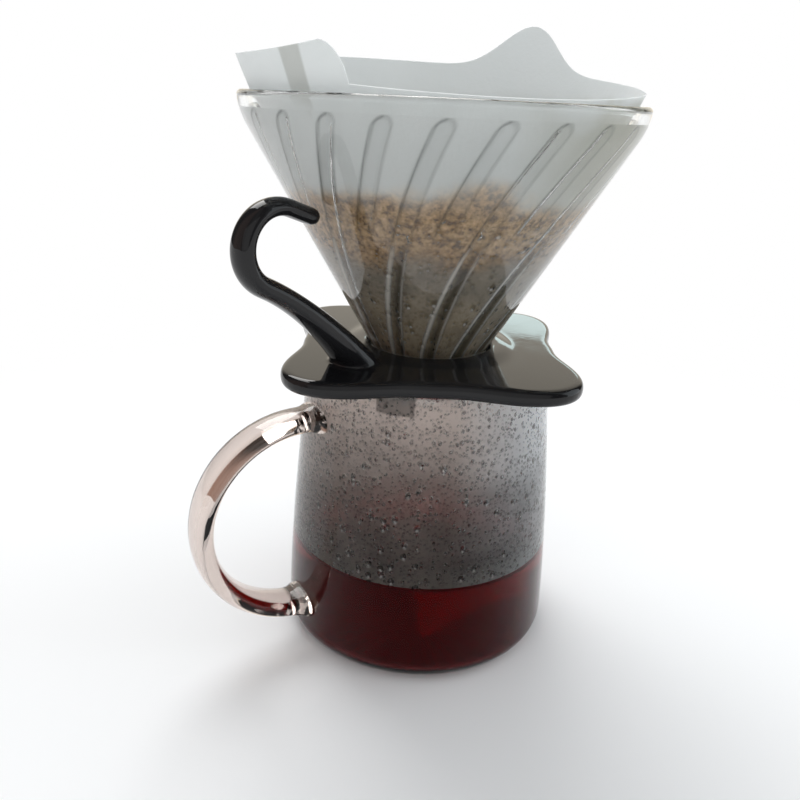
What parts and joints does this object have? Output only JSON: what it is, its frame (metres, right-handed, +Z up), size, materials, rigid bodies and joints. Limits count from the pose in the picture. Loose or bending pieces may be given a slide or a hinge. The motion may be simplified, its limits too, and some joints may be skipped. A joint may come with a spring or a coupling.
{
  "type": "glass coffee carafe",
  "caption": "Glass coffee carafe with a loop handle, carrying a ribbed glass cone dripper on a lobed black base with a hook handle, a paper filter and brewed coffee.",
  "frame": {"origin": "centre of the carafe's flat base, on the axis that the carafe and the dripper share", "axes": "+Z up along the axis; the carafe's handle points to -X and its pouring lip to +X"},
  "size_m": [0.1373, 0.1167, 0.1937],
  "materials": {
    "carafe_glass": "polished",
    "dripper_glass": "polished",
    "coffee": "gloss",
    "black_plastic": "gloss",
    "silicone": "matte",
    "filter_paper": "matte",
    "coffee_grounds": "matte"
  },
  "bodies": {
    "carafe": {"carafe_body": "carafe_glass", "carafe_handle": "carafe_glass", "brewed_coffee": "coffee"},
    "dripper": {"dripper_cone": "dripper_glass", "dripper_base": "black_plastic", "cone_gasket": "silicone"},
    "ring": {"retaining_ring": "black_plastic"},
    "filter": {"paper_filter": "filter_paper", "coffee_bed": "coffee_grounds"}
  },
  "joints": [
    {"name": "dripper_lift", "type": "slide", "parent": "carafe", "child": "dripper", "axis": [0, 0, 1], "range_m": [0, 0.06]},
    {"name": "filter_lift", "type": "slide", "parent": "dripper", "child": "filter", "axis": [0, 0, 1], "range_m": [0, 0.11]},
    {"name": "ring_turn", "type": "hinge", "parent": "dripper", "child": "ring", "pos_m": [0, 0, 0.0906], "axis": [0, 0, 1], "range_deg": [0, 60]}
  ]
}
